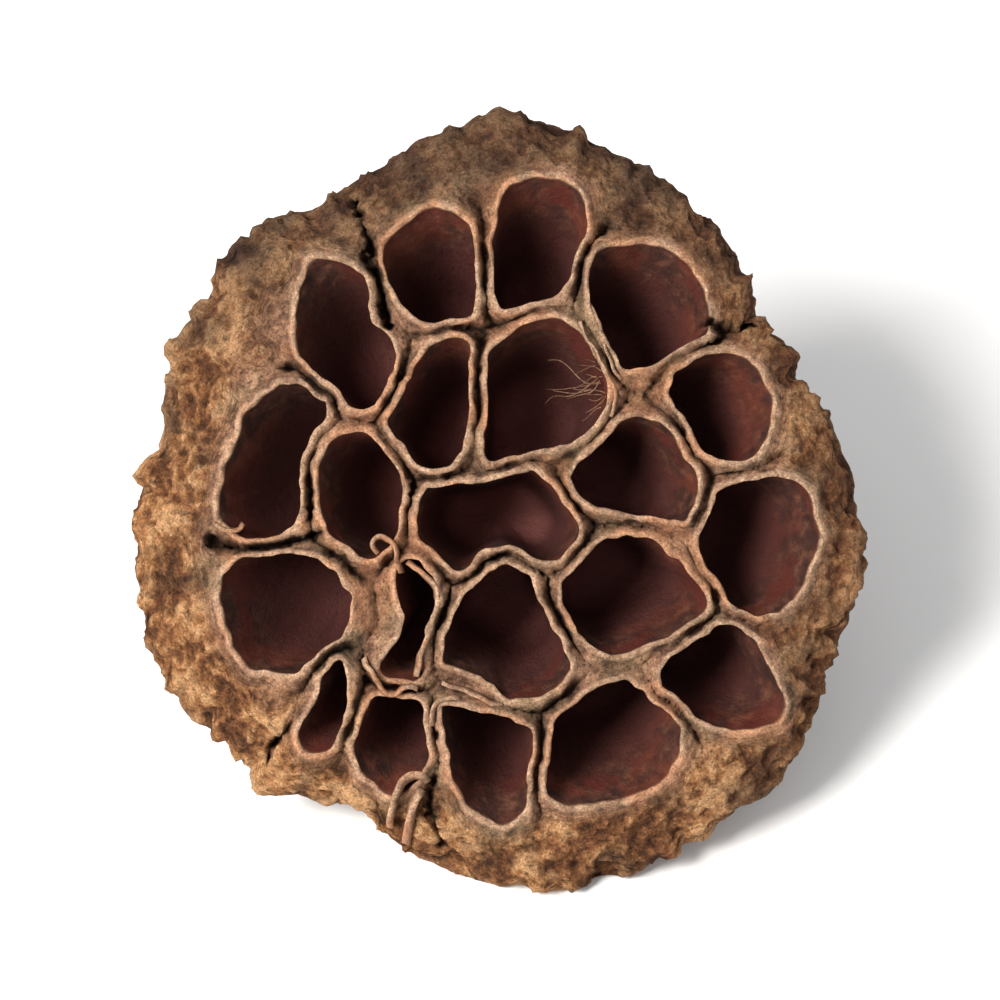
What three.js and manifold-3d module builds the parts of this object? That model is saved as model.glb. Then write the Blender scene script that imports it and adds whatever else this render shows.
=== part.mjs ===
// A dried lotus pod, grown as one woody piece: a shallow cone whose domed face holds the open,
// empty seed cells. It lies on its flank, with the face turned up and to the front.
import * as THREE from "three";
import { mergeVertices } from "three/addons/utils/BufferGeometryUtils.js";
import Module from "manifold-3d";

const wasm = await Module();
wasm.setup();

// Driving dimensions, in millimetres and degrees. The pod is drawn in the frame of its face: u to
// the right, v up and w outward, from a point on the axis at the level of the rim. In the part's
// own frame the surface that the pod lies on is z = 0, and the face looks towards -Y and up.
const FACE_ELEVATION = 51;
const HEIGHT = 34; // from the level of the rim down to the stem scar
const FACE_RADIUS = 37.5; // on average
const DOME_RISE = 2.4; // of the middle of the face above the rim
const MARGIN = 0.2; // share of the radius where the face bends down to its edge
const MARGIN_DROP = 1.8;
const EDGE_DEPTH = 3.4; // where the edge has turned down into the flank
const EDGE_BULGE = 0.5; // how far the edge stands proud halfway down
const FLANK_POWER = 1.1; // 1 is a straight cone, more makes the flank a little hollow
const FLUTES = 13; // shallow ridges that run down the flank
const FLUTE_DEPTH = 0.6;
const FLUTE_ENDS = 0.3; // share of that depth left at the edge and at the scar
const CRINKLES = 29; // small waves along the edge
const CRINKLE_DEPTH = 0.4;
const CRINKLE_SWAY = 3; // how far, in radians, the crinkles crowd together on two sides
const FLUTE_SWAY = 2;
const SCAR_RADIUS = 4.4; // of the torn scar where the stem broke off
const SCAR_HOLLOW = 1.4;
const REST_FLAT = 1.1; // how much of the lowest ridges is flat where the pod lies

const AROUND = 96; // steps around the pod
const FACE_RINGS = [0.25, 0.5, 0.7, 0.84, 0.94, 1]; // shares of the radius
const FLANK_RINGS = [1, 0.82, 0.62, 0.42, 0.22, 0.08]; // shares of the height above the scar

const CELL_AROUND = 16; // steps around a seed cell
const CELL_ABOVE = 4; // a cell's cutter starts this far above the face
const CELL_FOCUS = 44; // the cells lean towards a point on the axis this far below their mouths
const CELL_RINGS = [
  { depth: 0.4, width: 1.03 }, // shares of the cell's depth and of the width of its mouth
  { depth: 0.8, width: 0.86 },
  { depth: 0.96, width: 0.5 },
];
const GROUND = 200; // side of the block that the resting flats are cut with

// The edge of the face, as [u, v] points on a closed smooth curve, anticlockwise from the right.
const OUTLINE = [
  [36.6, 0.5], [34.9, 6.2], [32, 9.7], [30.3, 14.2], [26.6, 18.8], [25.7, 22.8], [20, 30.2],
  [10.9, 36.5], [1.7, 39.9], [-8, 37.1], [-14.3, 33.7], [-16, 31.6], [-26.3, 27.4],
  [-30.3, 21.1], [-34.3, 11.9], [-34.5, 6.8], [-36.8, 2], [-37.4, -6.3], [-35.7, -16.1],
  [-29.7, -24.1], [-25.2, -27], [-25.2, -29.4], [-16.6, -30.9], [-12.2, -33], [-9.7, -36.1],
  [1.1, -39.8], [13.7, -38.3], [24, -32.1], [28.6, -29.2], [33.1, -19.5], [37.2, -7],
];

// The seed cells: each one's depth, and its mouth as [u, v] points, drawn as the outline is.
const CELLS = {
  centre: {
    depth: 17,
    mouth: [
      [-8.2, -3.6], [-5.2, -6.5], [0, -5.2], [5.6, -6],
      [7.3, -2.4], [3, 3.1], [-0.6, 2], [-7.6, 1],
    ],
  },
  inner_top: {
    depth: 16,
    mouth: [
      [-1.5, 9.8], [-1, 4.9], [4, 5.1], [9, 7.2],
      [11.3, 12], [8, 18.2], [4, 18.7], [-1.2, 14.8],
    ],
  },
  inner_top_left: {
    depth: 15,
    mouth: [
      [-11.4, 8.4], [-9.5, 5.4], [-6.4, 3.4], [-3.6, 7.2],
      [-3.2, 12.8], [-4.3, 16.2], [-7.2, 15.8], [-11, 10.3],
    ],
  },
  inner_right: {
    depth: 16,
    mouth: [
      [8.5, 0.3], [13.6, -1.2], [19.2, -1.7], [20.6, 0.6],
      [17.8, 6.6], [13.6, 7.7], [7.8, 2.4],
    ],
  },
  inner_lower_right: {
    depth: 16,
    mouth: [
      [8.2, -13.2], [11.6, -15.8], [20.4, -12.6], [21.6, -9.7],
      [16.6, -5.2], [11.4, -4.7], [6.8, -8.8],
    ],
  },
  inner_bottom: {
    depth: 16,
    mouth: [
      [-5.3, -16.8], [-2.4, -18.4], [1.6, -20.5], [5.4, -19.2],
      [6.6, -16.2], [5, -12.4], [1.6, -7.6], [-3.4, -9.8],
    ],
  },
  left_inner: {
    depth: 15,
    mouth: [
      [-18.9, 0], [-16.2, -4.4], [-13.4, -5.4], [-11, -3],
      [-10.5, 1.6], [-12.8, 5.4], [-15.8, 6.2], [-18.2, 4.6],
    ],
  },
  slit_centre_left: {
    depth: 10,
    mouth: [
      [-10.6, -9.2], [-10.4, -13.2], [-12, -17.8], [-9, -18.2],
      [-8, -13.8], [-7.3, -9.2], [-9.2, -7],
    ],
  },
  top: {
    depth: 14,
    mouth: [
      [-0.9, 21.6], [1.4, 20.2], [5, 21], [7.4, 24.4],
      [8.4, 31], [5.1, 34.2], [1.7, 33], [-0.9, 27],
    ],
  },
  top_right: {
    depth: 14,
    mouth: [
      [10.4, 18.4], [13.4, 13.9], [21, 17.7],
      [21, 23], [18.3, 26.2], [10.4, 25.4],
    ],
  },
  right_upper: {
    depth: 13,
    mouth: [
      [20, 7.4], [23.4, 4.6], [27.2, 6], [28.6, 11.2],
      [25.6, 14.8], [21.2, 14.9], [18.4, 11.8],
    ],
  },
  right: {
    depth: 13,
    mouth: [
      [21.1, -4.4], [22.3, -8.6], [26.9, -11.5], [31.4, -9.2],
      [33.7, -3.6], [32, 1.2], [27.4, 1.9], [22.8, 0.4],
    ],
  },
  right_lower: {
    depth: 13,
    mouth: [
      [18.6, -21.2], [25, -24], [29.4, -22.6],
      [27.8, -16.8], [22.9, -13.3], [16.4, -18.7],
    ],
  },
  bottom_right: {
    depth: 13,
    mouth: [
      [4.8, -28], [6.3, -31.6], [11.4, -31.8], [17, -29.6],
      [18.7, -24.6], [16, -20.4], [11, -19.4], [5, -24.8],
    ],
  },
  bottom: {
    depth: 12,
    mouth: [
      [-4.9, -28], [-2.7, -32.4], [1.3, -33.4], [3, -29.6],
      [2.8, -24.6], [-2, -22.2], [-5.8, -22],
    ],
  },
  bottom_left: {
    depth: 11,
    mouth: [
      [-15, -27.4], [-12.4, -31], [-9.8, -29.8],
      [-7.8, -26.6], [-8.8, -21.4], [-13.4, -21.4],
    ],
  },
  slit_lower_left: {
    depth: 9,
    mouth: [
      [-18.9, -20.6], [-20.6, -24.4], [-20, -26],
      [-17.2, -24.8], [-16.2, -20.6], [-17, -17.6],
    ],
  },
  left_lower: {
    depth: 11,
    mouth: [
      [-28.8, -13], [-26.3, -17.4], [-20.8, -17.4], [-16.6, -13.8],
      [-16.5, -8.8], [-21.2, -5.9], [-28.8, -7.7],
    ],
  },
  left: {
    depth: 13,
    mouth: [
      [-28.6, -1.6], [-25, -3.5], [-21.1, -1.6], [-20.4, 4],
      [-18.1, 9.6], [-21, 11.8], [-25.7, 9.9], [-28.3, 5.2],
    ],
  },
  upper_left: {
    depth: 14,
    mouth: [
      [-21.5, 20.2], [-20.6, 15.2], [-14.5, 9.8], [-11.8, 10.8],
      [-11, 14.6], [-13.5, 19.2], [-15.4, 23.5], [-19.7, 24.6],
    ],
  },
  top_left: {
    depth: 13,
    mouth: [
      [-11.1, 23], [-8.8, 19.6], [-5, 19.2], [-2.4, 21],
      [-2.4, 26], [-4.4, 29.5], [-8, 29.8], [-11.4, 26.6],
    ],
  },
};

// Points evenly spaced along the closed smooth curve through a list of [u, v] points.
function smoothLoop(points, steps) {
  const knots = points.map(([u, v]) => new THREE.Vector3(u, v, 0));
  return new THREE.CatmullRomCurve3(knots, true).getSpacedPoints(steps).slice(0, steps);
}

function solidFrom(geometry) {
  const merged = mergeVertices(geometry.deleteAttribute("normal").deleteAttribute("uv"));
  const vertProperties = merged.attributes.position.array;
  const triVerts = new Uint32Array(merged.index.array);
  return new wasm.Manifold(new wasm.Mesh({ numProp: 3, vertProperties, triVerts }));
}

// A closed surface over rings of points, from the point at its top to the point at its bottom.
function ringGeometry(top, rings, bottom) {
  const around = rings[0].length;
  const points = [top, ...rings.flat(), bottom];
  const at = (ring, step) => 1 + ring * around + (step % around);
  const last = rings.length - 1;
  const faces = [];
  for (let i = 0; i < around; i++) {
    faces.push(0, at(0, i), at(0, i + 1));
    for (let ring = 0; ring < last; ring++) {
      faces.push(at(ring, i), at(ring + 1, i), at(ring + 1, i + 1));
      faces.push(at(ring, i), at(ring + 1, i + 1), at(ring, i + 1));
    }
    faces.push(at(last, i + 1), at(last, i), points.length - 1);
  }
  return new THREE.BufferGeometry().setFromPoints(points).setIndex(faces);
}

// The level of the face at a share of its radius: a low dome that bends down at the margin.
function faceLevel(share) {
  const bend = Math.max(0, (share - 1 + MARGIN) / MARGIN);
  return DOME_RISE * (1 - share * share) - MARGIN_DROP * bend * bend;
}

// A ring of the pod at one level: at(angle, radius of the edge there) gives the ring's radius and
// how far it is above the level.
function podRing(edge, level, at) {
  return edge.map((point) => {
    const angle = Math.atan2(point.y, point.x);
    const { radius, rise = 0 } = at(angle, point.length());
    return new THREE.Vector3(radius * Math.cos(angle), radius * Math.sin(angle), level + rise);
  });
}

// A wave that runs around the pod, crowded together on two sides by its sway.
function wave(angle, count, sway) {
  return Math.sin(count * angle + sway * Math.sin(2 * angle));
}

function faceRing(edge, share) {
  return podRing(edge, faceLevel(share), (angle, radius) => ({
    radius: radius * share,
    rise: share === 1 ? CRINKLE_DEPTH * wave(angle, CRINKLES, CRINKLE_SWAY) : 0,
  }));
}

function edgeRing(edge) {
  return podRing(edge, -MARGIN_DROP - EDGE_DEPTH / 2, (angle, radius) => ({
    radius: radius + EDGE_BULGE + CRINKLE_DEPTH * wave(angle, CRINKLES, 0),
  }));
}

function flankRing(edge, share) {
  const top = HEIGHT - MARGIN_DROP - EDGE_DEPTH;
  const middling = 4 * (1 - share) * share; // 1 halfway down and 0 at both ends
  const fluting = FLUTE_DEPTH * Math.min(1, middling + FLUTE_ENDS);
  return podRing(edge, top * share - HEIGHT, (angle, radius) => ({
    radius:
      SCAR_RADIUS +
      (radius - SCAR_RADIUS) * share ** FLANK_POWER +
      fluting * wave(angle, FLUTES, FLUTE_SWAY),
  }));
}

function scarRings(edge) {
  return [
    podRing(edge, -HEIGHT, () => ({ radius: SCAR_RADIUS })),
    podRing(edge, SCAR_HOLLOW / 2 - HEIGHT, () => ({ radius: SCAR_RADIUS / 2 })),
  ];
}

function podBody() {
  const edge = smoothLoop(OUTLINE, AROUND);
  const rings = [
    ...FACE_RINGS.map((share) => faceRing(edge, share)),
    edgeRing(edge),
    ...FLANK_RINGS.map((share) => flankRing(edge, share)),
    ...scarRings(edge),
  ];
  const top = new THREE.Vector3(0, 0, faceLevel(0));
  const bottom = new THREE.Vector3(0, 0, SCAR_HOLLOW - HEIGHT);
  return solidFrom(ringGeometry(top, rings, bottom));
}

// What is cut away for one seed cell: its mouth drawn down to a rounded floor, narrowing towards
// the focus of the cells as it goes.
function cellCutter({ depth, mouth }) {
  const loop = smoothLoop(mouth, CELL_AROUND);
  const sum = loop.reduce((total, point) => total.add(point), new THREE.Vector3());
  const middle = sum.divideScalar(loop.length);
  const mouthLevel = faceLevel(middle.length() / FACE_RADIUS);
  const lean = (point, below) => {
    const placed = point.clone().multiplyScalar(1 - below / CELL_FOCUS);
    return placed.setZ(mouthLevel - below);
  };
  const ring = (below, width) =>
    loop.map((point) => lean(middle.clone().lerp(point, width), below));
  const rings = [
    ring(-CELL_ABOVE, 1),
    ...CELL_RINGS.map((at) => ring(at.depth * depth, at.width)),
  ];
  return solidFrom(ringGeometry(lean(middle, -CELL_ABOVE), rings, lean(middle, depth)));
}

// The pod laid on its flank: turned, and moved down so that its lowest ridges are just below the
// ground.
function laidDown(pod) {
  const turned = pod.rotate([90 - FACE_ELEVATION, 0, 0]);
  return turned.translate([0, 0, -turned.boundingBox().min[2] - REST_FLAT]);
}

function cutAtGround(pod) {
  const ground = new THREE.BoxGeometry(GROUND, GROUND, GROUND).translate(0, 0, -GROUND / 2);
  return pod.subtract(solidFrom(ground));
}

// The solid as a geometry that stands on the middle of its own footprint.
function centredGeometry(solid) {
  const { vertProperties, triVerts } = solid.getMesh();
  const geometry = new THREE.BufferGeometry();
  geometry.setAttribute("position", new THREE.BufferAttribute(vertProperties, 3));
  geometry.setIndex(new THREE.BufferAttribute(triVerts, 1));
  geometry.computeBoundingBox();
  const middle = geometry.boundingBox.getCenter(new THREE.Vector3());
  return geometry.translate(-middle.x, -middle.y, 0);
}

function buildPod() {
  const cutters = Object.values(CELLS).map(cellCutter);
  const hollowed = cutters.reduce((pod, cutter) => pod.subtract(cutter), podBody());
  const geometry = centredGeometry(cutAtGround(laidDown(hollowed)));
  geometry.computeVertexNormals();
  const husk = new THREE.MeshStandardMaterial({ color: "#7d5f45", roughness: 0.9, metalness: 0 });
  const mesh = new THREE.Mesh(geometry, husk);
  mesh.name = "pod";
  return mesh;
}

const lotusPod = new THREE.Group();
lotusPod.add(buildPod());

export default lotusPod;
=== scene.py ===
"""A dried lotus pod: the looks of one woody husk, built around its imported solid.

The husk is drawn in the frame of its face, in millimetres: u to the right, v up and w outward.
Its edge, its flank and its seed cells are measured on the solid. Raised lips, the cracks between
the cells, the rough margin and the wrinkled flank are added to that as real geometry.
"""

import math

import bpy
import numpy as np
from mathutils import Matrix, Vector
from mathutils.geometry import delaunay_2d_cdt


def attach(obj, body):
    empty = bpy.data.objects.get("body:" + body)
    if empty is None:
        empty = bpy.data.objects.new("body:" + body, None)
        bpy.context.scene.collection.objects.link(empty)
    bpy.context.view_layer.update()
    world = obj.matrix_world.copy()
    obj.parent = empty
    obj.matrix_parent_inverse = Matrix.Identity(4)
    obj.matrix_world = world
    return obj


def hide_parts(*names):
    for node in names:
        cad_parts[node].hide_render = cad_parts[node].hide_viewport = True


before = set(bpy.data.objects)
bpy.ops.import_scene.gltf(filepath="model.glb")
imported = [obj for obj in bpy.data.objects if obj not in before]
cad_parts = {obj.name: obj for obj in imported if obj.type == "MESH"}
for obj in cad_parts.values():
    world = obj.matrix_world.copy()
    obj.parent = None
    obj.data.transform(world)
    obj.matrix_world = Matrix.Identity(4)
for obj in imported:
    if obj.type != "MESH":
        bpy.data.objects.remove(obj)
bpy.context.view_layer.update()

MM = 0.001
NODE = "pod"

# The face's frame, and the solid's own dimensions that its slices don't show.
FACE_ELEVATION = math.radians(51)
HEIGHT = 34.0  # from the rim's level down to the scar
FACE_RADIUS = 37.5
DOME_RISE = 2.4
MARGIN = 0.2
MARGIN_DROP = 1.8
SCAR_RADIUS = 4.4
SCAR_HOLLOW = 1.4
CELL_FOCUS = 44.0  # the cells lean towards a point this far below their mouths

# How the solid is measured.
MOUTH_LEVEL = -0.6  # of the slice that the mouths are measured in, from the face
MOUTH_SMOOTHING = 4  # rounds that take the solid's corners out of a mouth
FLOOR_REACH = 1.5  # around a cell's axis, where the corners of its floor are looked for
SCAR_CORNERS = -24.3  # the solid's corners on its axis below this level belong to the scar
FLANK_LEVELS = (-2.15, -3.5, -5.3, -8, -11, -14, -17, -20, -23, -26, -29, -31.5, -33.6)

# The mesh.
LIP_STEP = 0.38  # between points along a cell's mouth
FILL_STEP = 0.44  # between points on the open face
SIDE_STEP = 0.2  # from the bottom of a crack to its shoulder
LINE_STEP = 0.12  # between points along a cleft
MERGED = 1e-5  # points nearer than this are one
AROUND = 480  # steps around the margin, the edge and the flank
LIP_RINGS = (0.13, 0.28, 0.48, 0.76, 1.12)  # distances from a mouth
CELL_ROWS = (0.2, 0.5, 1.0, 1.8, 2.7, 3.8, 5.1, 6.6)  # levels below the mouth
FLOOR_ROWS = ((0.62, 0.97), (0.76, 0.9), (0.87, 0.76), (0.94, 0.55), (0.98, 0.3))  # shares
FACE_SHARE = 0.965  # of the radius: inside it the face is triangulated, outside it lies in rings
MARGIN_SHARES = (0.3, 0.6, 0.85, 1.0)  # of the way from there to the edge
FLANK_ROWS = ((-2.15, -6, -0.33), (-6.2, -33.6, -0.36), (-33.8, -34, -1))  # from, to and step
SCAR_SHARES = (0.86, 0.7, 0.52, 0.34, 0.16)

# The cells' mouths.
MOUTH_WOBBLE = 0.75
CORNERS = 1.25  # how much the corners are sharpened
CORNER_SMOOTHING = 70  # rounds that leave the shape that they are sharpened against
THINNEST_WALL = 1.9  # between two mouths
UNDERCUT = 0.22  # of the wall under the lip

# The relief of the face. A pair is two distances, and something fades from one to the other.
LIP_RISE = 0.36
LIP_REACH = 0.24  # from the mouth to the top of the lip
LIP_WIDTH = 0.3
LIP_END = (0.36, 0.74)  # from the mouth
WALL_STEP = 0.9  # how much higher or lower a cell's own wall stands than its neighbour's
WALL_END = (1.6, 4.0)  # from the mouth
RIPPLE = 0.08  # height of the low folds that run round the lips
RIPPLE_LENGTH = 0.8
RIPPLE_START = (0.8, 1.4)  # from the mouth
RIPPLE_END = (2.4, 4.5)
FURROW = 0.45  # how far the face sinks between two lips
FURROW_START = 0.6  # from the mouth
FURROW_GAPS = (5, 9)  # between two mouths
CRACK_DEPTH = 2.2
CRACK_SIDE = (0.06, 0.27)  # from the middle of the crack
CRACK_SHADE = (0.15, 0.6)  # from there too: how far the painted shade beside the crack reaches
CRACK_GAPS = (3.4, 5.6)  # between two mouths
OPEN_SHARE = 0.65  # how open the cracks are on the axis
OPEN_SLANT = -0.015  # and for each millimetre to the right of it
RIM_CLEAR = (0.6, 2.2)  # from the mouth
RIM_SHARES = (0.74, 0.88)  # of the radius, where the tissue turns into the margin
FLANK_START = (-2.6, -6.5)  # levels, where the margin turns into the flank
EDGE_LEVEL = -2.1  # where the edge is torn most
EDGE_REACH = 1.3  # how far above and below that level it is torn
STRETCH = 0.45  # the grain's features are this much finer across the walls than along them

# Layers of noise, each with its height, the size of its features, its octaves and its seed.
RIDGED_MEAN = 0.45  # what is taken off ridged noise, so that it moves the surface both ways
MOUTH_WANDER = ((1.0, 3.6, 3, 5), (0.2, 1.1, 1, 9))
LIP_HEIGHTS = ((0.8, 4.0, 2, 41), (0.6, 1.0, 1, 43))  # shares of the height
LIP_WIDTHS = (0.5, 2.3, 1, 45)  # a share of the width
WALL_HEIGHTS = (WALL_STEP, 1 / 0.9, 1, 39)
WALL_APART = 5.3 / 0.9  # keeps the noise of one cell's wall apart from the next cell's
RIPPLE_WANDER = (0.9, 3.1, 1, 47)
CRACK_PATCHES = (1.4, 6.0, 2, 31)
CRACK_WANDER = (0.1, 0.9, 1, 33)
CLEFT_WANDER = (0.3, 1.3, 1, 35)
RIM_WANDER = (0.05, 3.0, 1, 37)
PLEATS = (0.3, (2.2, 2.2, 1), 3, 51)
MARGIN_LUMPS = (0.8, 3.4, 2, 61)
MARGIN_FLAKES = (0.7, 1.05, 3, 63)
MARGIN_GRIT = (0.4, 0.8, 2, 64)
FLANK_FOLDS = (1.7, (4.4, 4.4, 4), 2, 71)
FLANK_CREASES = (0.9, (2.6, 2.6, 2.4), 3, 73)
FLANK_GRIT = (0.4, 1.7, 2, 75)
TISSUE_LUMPS = (0.35, 1.5, 2, 81)
TISSUE_FLAKES = (0.2, 0.9, 2, 83)
TEARS = ((1.5, 2.6, 3, 91), (0.5, 1.0, 1, 92))
TEAR_PATCHES = (1.0, 7.0, 1, 94)
NOTCHES = (0.9, 4.4, 2, 93)
EDGE_LIFT = (1.2, 3.1, 2, 95)
SEED = 7

# The torn walls, the fibres and the stubs around the scar. A pair is the least and the most.
FOLD_SECTION = (  # across as shares of the width; up as shares of the height, down in millimetres
    (-0.55, -1.4), (-0.5, 0.1), (-0.34, 0.8), (0, 1), (0.34, 0.8), (0.5, 0.1), (0.55, -1.4),
)
FIBRES = 15
FIBRE_ROOT = (10.6, 12.6, 1.2)  # the torn wall that they hang from
FIBRE_LENGTH = (1.5, 6)
FIBRE_HEADING = (138, 222)  # degrees
FIBRE_RADIUS = (0.04, 0.09)
STUBS = 60
STUB_LENGTH = (0.7, 1.4)
STUB_RADIUS = (0.2, 0.42)

KINDS = ("lip", "crack", "rim", "flank", "below", "high")  # what the material reads at each point; crack is the painted shade in cracks and clefts
DULLNESS = 0.22  # the specular level of the dry tissue

# The room, in metres.
CAMERA_ELEVATION = math.radians(50)
CAMERA_DISTANCE = 0.62
FRAME_WIDTH = 0.1036  # what the camera sees from side to side at the pod
FLOOR_HALF = 3.0
ROOM_LIGHT = 0.65
KEY_PLACE = (-0.52, -0.34, 0.66)
KEY_SIZE = 0.4
KEY_POWER = 16
KEY_COLOUR = (1, 0.97, 0.93)


# -------- numbers and noise


def smoothstep(low, high, x):
    t = np.clip((x - low) / (high - low), 0, 1)
    return t * t * (3 - 2 * t)


def hash01(cells, seed):
    """A random number from 0 to 1 for each whole-numbered cell."""
    x, y, z = (cells[..., i].astype(np.int64) for i in range(3))
    h = (x * 73856093) ^ (y * 19349663) ^ (z * 83492791) ^ (seed * 2654435761)
    h = (h ^ (h >> 13)) * 1274126177 & 0xFFFFFFFF
    h = (h ^ (h >> 16)) * 2246822519 & 0xFFFFFFFF
    return ((h ^ (h >> 15)) & 0xFFFFFF) / float(0xFFFFFF)


def noise(points, seed):
    """Smooth noise from -1 to 1 with features one unit wide."""
    cell = np.floor(points)
    f = points - cell
    f = f * f * (3 - 2 * f)
    total = 0
    for corner in np.ndindex(2, 2, 2):
        weight = np.prod(np.where(corner, f, 1 - f), axis=-1)
        total = total + weight * hash01(cell + corner, seed + SEED)
    return total * 2 - 1


def fractal(points, octaves, seed):
    """Smooth noise with finer and finer layers, from -1 to 1."""
    total, size = 0, 1.0
    for i in range(octaves):
        total = total + size * noise(points * 2.03**i, seed + 17 * i)
        size *= 0.5
    return total / (2 - 2 * size)


def ridged(points, octaves, seed):
    """Noise that is sharp and high along lines, from 0 to 1."""
    total, size = 0, 1.0
    for i in range(octaves):
        wave = np.abs(noise(points * 2.1**i, seed + 23 * i))
        total = total + size * (1 - np.minimum(2.4 * wave, 1))
        size *= 0.5
    return total / (2 - 2 * size)


def bumpy(points, layer):
    """One layer of smooth noise."""
    height, size, octaves, seed = layer
    return height * fractal(points / np.array(size), octaves, seed)


def creased(points, layer):
    """One layer of ridged noise."""
    height, size, octaves, seed = layer
    return height * (ridged(points / np.array(size), octaves, seed) - RIDGED_MEAN)


def swaying(points, size, seed):
    """Offsets of up to 1 in each direction, for moving places about."""
    return np.column_stack([noise(points / size, seed + i) for i in range(3)])


def in_3d(flat, third=0.0):
    return np.column_stack([flat, np.broadcast_to(third, len(flat))])


# -------- the solid, measured


def face_axes():
    s, c = math.sin(FACE_ELEVATION), math.cos(FACE_ELEVATION)
    return np.array([[1, 0, 0], [0, s, c], [0, -c, s]])


AXES = face_axes()


def solid_triangles():
    """The solid's triangles along the face's axes, in millimetres."""
    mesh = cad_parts[NODE].data
    mesh.calc_loop_triangles()
    place = np.empty(len(mesh.vertices) * 3)
    mesh.vertices.foreach_get("co", place)
    corners = np.empty(len(mesh.loop_triangles) * 3, int)
    mesh.loop_triangles.foreach_get("vertices", corners)
    return (place.reshape(-1, 3) @ AXES.T / MM)[corners].reshape(-1, 3, 3)


def face_level(share):
    """The level of the face at a share of its radius: a low dome that bends down at the margin."""
    bend = np.maximum(0, (share - 1 + MARGIN) / MARGIN)
    return DOME_RISE * (1 - share**2) - MARGIN_DROP * bend**2


def slice_loops(triangles, level):
    """The closed loops of [u, v] points where the solid meets one level."""
    above = triangles[:, :, 2] > level
    crossing = above.any(1) & ~above.all(1)
    links = {}
    for corners in triangles[crossing]:
        ends = []
        for a in range(3):
            pair = [tuple(corners[a]), tuple(corners[(a + 1) % 3])]
            low, high = sorted(pair, key=lambda p: p[::-1])
            if low[2] <= level < high[2]:
                share = (level - low[2]) / (high[2] - low[2])
                end = [low[i] + share * (high[i] - low[i]) for i in (0, 1)]
                ends.append((round(end[0], 4), round(end[1], 4)))
        if ends[0] != ends[1]:
            links.setdefault(ends[0], []).append(ends[1])
            links.setdefault(ends[1], []).append(ends[0])
    return [np.array(loop) for loop in chained(links)]


def chained(links):
    loops, left = [], set(links)
    while left:
        loop = [min(left)]
        left.discard(loop[0])
        while True:
            onward = [p for p in links[loop[-1]] if p in left]
            if not onward:
                break
            loop.append(onward[0])
            left.discard(onward[0])
        if len(loop) > 5:
            loops.append(loop)
    return loops


def extent(loop):
    return np.ptp(loop, axis=0).max()


def run_along(points):
    """How far along a line each of its points is."""
    return np.concatenate([[0], np.cumsum(np.linalg.norm(np.diff(points, axis=0), axis=1))])


def places_along(points, at):
    """The places that are some distances along a line."""
    run = run_along(points)
    return np.column_stack([np.interp(at, run, axis) for axis in points.T])


def evenly(loop, count):
    """Points evenly spaced along a closed loop, anticlockwise."""
    x, y = loop.T
    if np.sum(x * np.roll(y, -1) - np.roll(x, -1) * y) < 0:
        loop = loop[::-1]
    closed = np.vstack([loop, loop[:1]])
    return places_along(closed, np.linspace(0, run_along(closed)[-1], count, endpoint=False))


def rounded(loop, times):
    for _ in range(times):
        loop = (np.roll(loop, 1, 0) + 2 * loop + np.roll(loop, -1, 0)) / 4
    return loop


def outward(loop):
    """The normals of an anticlockwise loop."""
    along = np.roll(loop, -1, 0) - np.roll(loop, 1, 0)
    return np.column_stack([along[:, 1], -along[:, 0]]) / np.linalg.norm(along, axis=1)[:, None]


def axis_point(triangles):
    """The point on the axis at the rim's level, found from the ring of the scar."""
    places = triangles.reshape(-1, 3)
    lowest = places[:, 2].min()
    scar = places[places[:, 2] < lowest + 0.01]
    middle = (scar[:, 0].min() + scar[:, 0].max()) / 2
    return np.array([middle, scar[:, 1].max() - SCAR_RADIUS, lowest + HEIGHT])


TRIANGLES = solid_triangles()
ORIGIN = axis_point(TRIANGLES)
TRIANGLES = TRIANGLES - ORIGIN


class Cell:
    """A seed cell: its mouth as a fine loop, its middle, its depth and the level of its mouth."""

    def __init__(self, loop, number):
        count = int(np.linalg.norm(np.roll(loop, -1, 0) - loop, axis=1).sum() / LIP_STEP)
        loop = rounded(evenly(loop, count), MOUTH_SMOOTHING)
        loop = loop + CORNERS * (loop - rounded(loop, CORNER_SMOOTHING))
        wobble = sum(bumpy(in_3d(loop, number * layer[1]), layer) for layer in MOUTH_WANDER)
        self.mouth = loop + outward(loop) * (MOUTH_WOBBLE * wobble)[:, None]
        self.middle = self.mouth.mean(0)
        self.level = level_at(self.middle[None])[0]
        self.depth = self.level - self.floor()

    def floor(self):
        """The level of the lowest corner of the solid that lies in this cell."""
        place = TRIANGLES.reshape(-1, 3)
        lean = 1 - (self.level - place[:, 2]) / CELL_FOCUS
        apart = np.hypot(*(place[:, :2] / lean[:, None] - self.middle).T)
        sunk = (place[:, 2] < self.level - 2) & (place[:, 2] > SCAR_CORNERS)
        return place[sunk & (apart < FLOOR_REACH), 2].min()


ANGLES = np.linspace(-math.pi, math.pi, AROUND, endpoint=False)


def measured_radii():
    """The radius of the solid's outside at each slice and angle."""
    rows = []
    for level in FLANK_LEVELS:
        loop = max(slice_loops(TRIANGLES, level), key=extent)
        rows.append(np.interp(ANGLES, angle_of(loop), np.hypot(*loop.T), period=2 * math.pi))
    return np.array(rows)


def angle_of(points):
    return np.arctan2(points[:, 1], points[:, 0])


RADII = measured_radii()
EDGE = RADII[0]


def edge_at(points):
    return np.interp(angle_of(points), ANGLES, EDGE, period=2 * math.pi)


def level_at(points):
    return face_level(np.hypot(*points.T) / edge_at(points))


def find_cells():
    """The cells' mouths are the small loops of a slice just below the face."""
    sunk = TRIANGLES.copy()
    sunk[:, :, 2] -= level_at(TRIANGLES.reshape(-1, 3)[:, :2]).reshape(-1, 3)
    loops = [loop for loop in slice_loops(sunk, MOUTH_LEVEL) if extent(loop) < FACE_RADIUS]
    return [Cell(loop, number) for number, loop in enumerate(loops)]


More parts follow.
